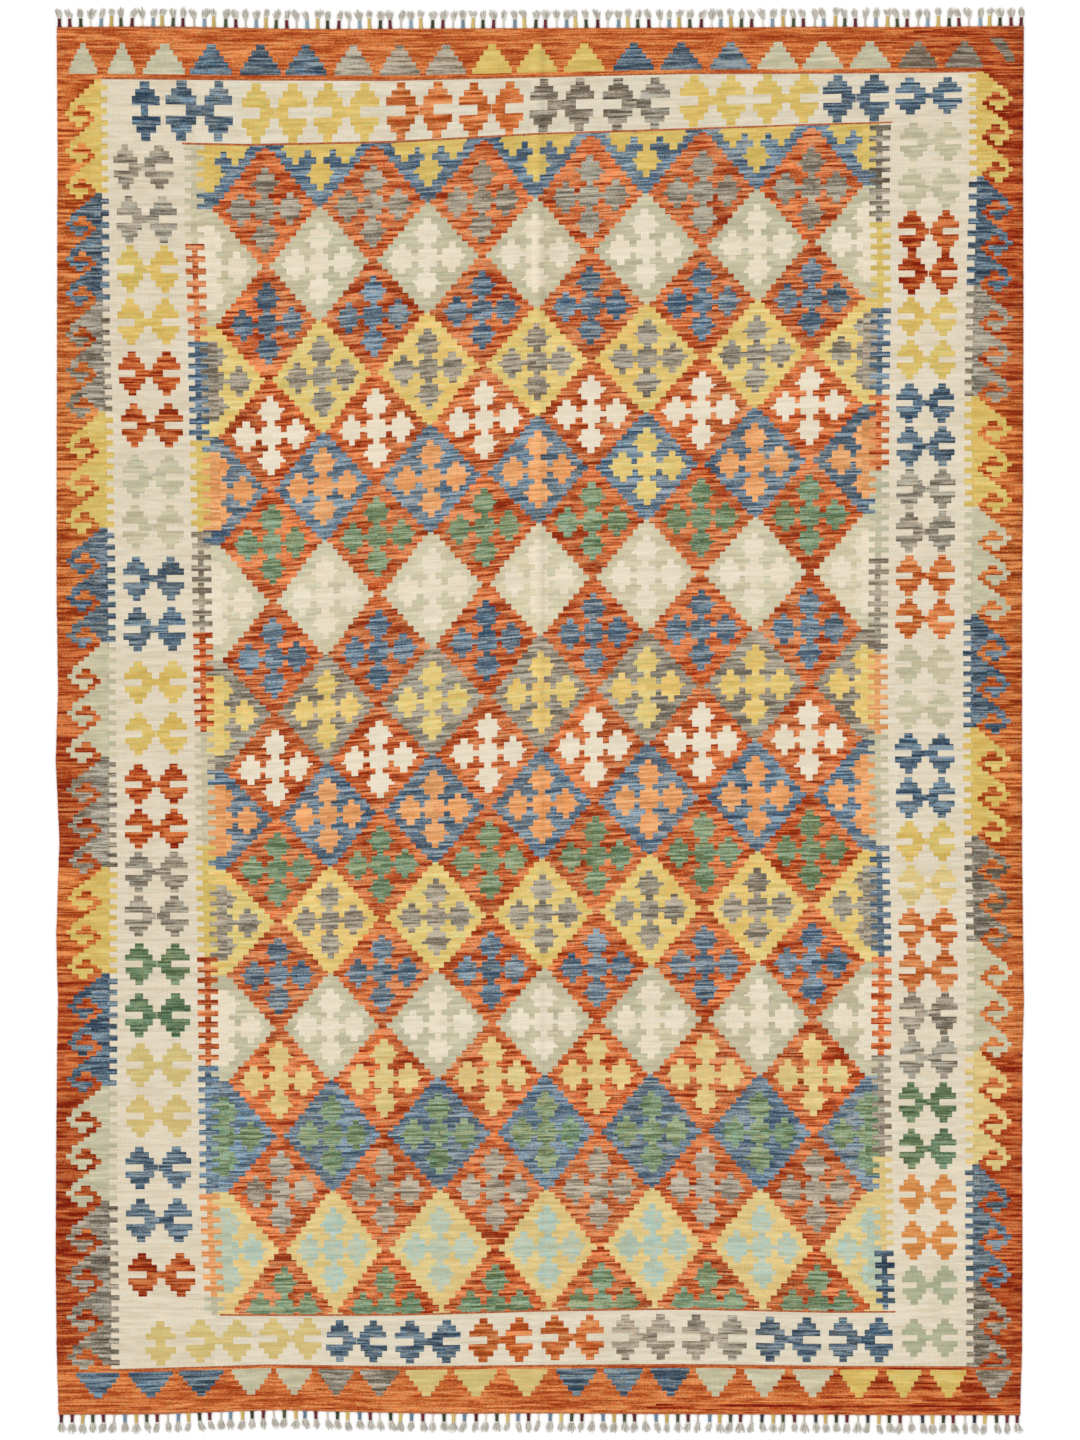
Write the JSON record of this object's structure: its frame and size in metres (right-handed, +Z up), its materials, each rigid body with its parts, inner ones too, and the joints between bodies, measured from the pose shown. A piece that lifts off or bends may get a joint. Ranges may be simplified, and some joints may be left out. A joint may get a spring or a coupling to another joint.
{
  "type": "kilim rug",
  "caption": "Flat rectangular woven rug with a stepped diamond field, combed borders and a short knotted fringe along both ends.",
  "frame": {"origin": "on the floor under the middle of the rug", "axes": "+Y along the rug's length towards its first woven end, +X across it to the right as the picture shows it, +Z up out of the face"},
  "size_m": [2.0631, 3.0407, 0.0066],
  "materials": {
    "dyed_wool_weave": "matte weft-faced wool tapestry weave",
    "cotton_warp_fringe": "undyed cotton warp ends, necks wrapped in dyed yarn"
  },
  "bodies": {
    "root": {"kilim_cloth": "dyed_wool_weave", "fringe_first_end": "cotton_warp_fringe", "fringe_last_end": "cotton_warp_fringe"}
  },
  "joints": []
}
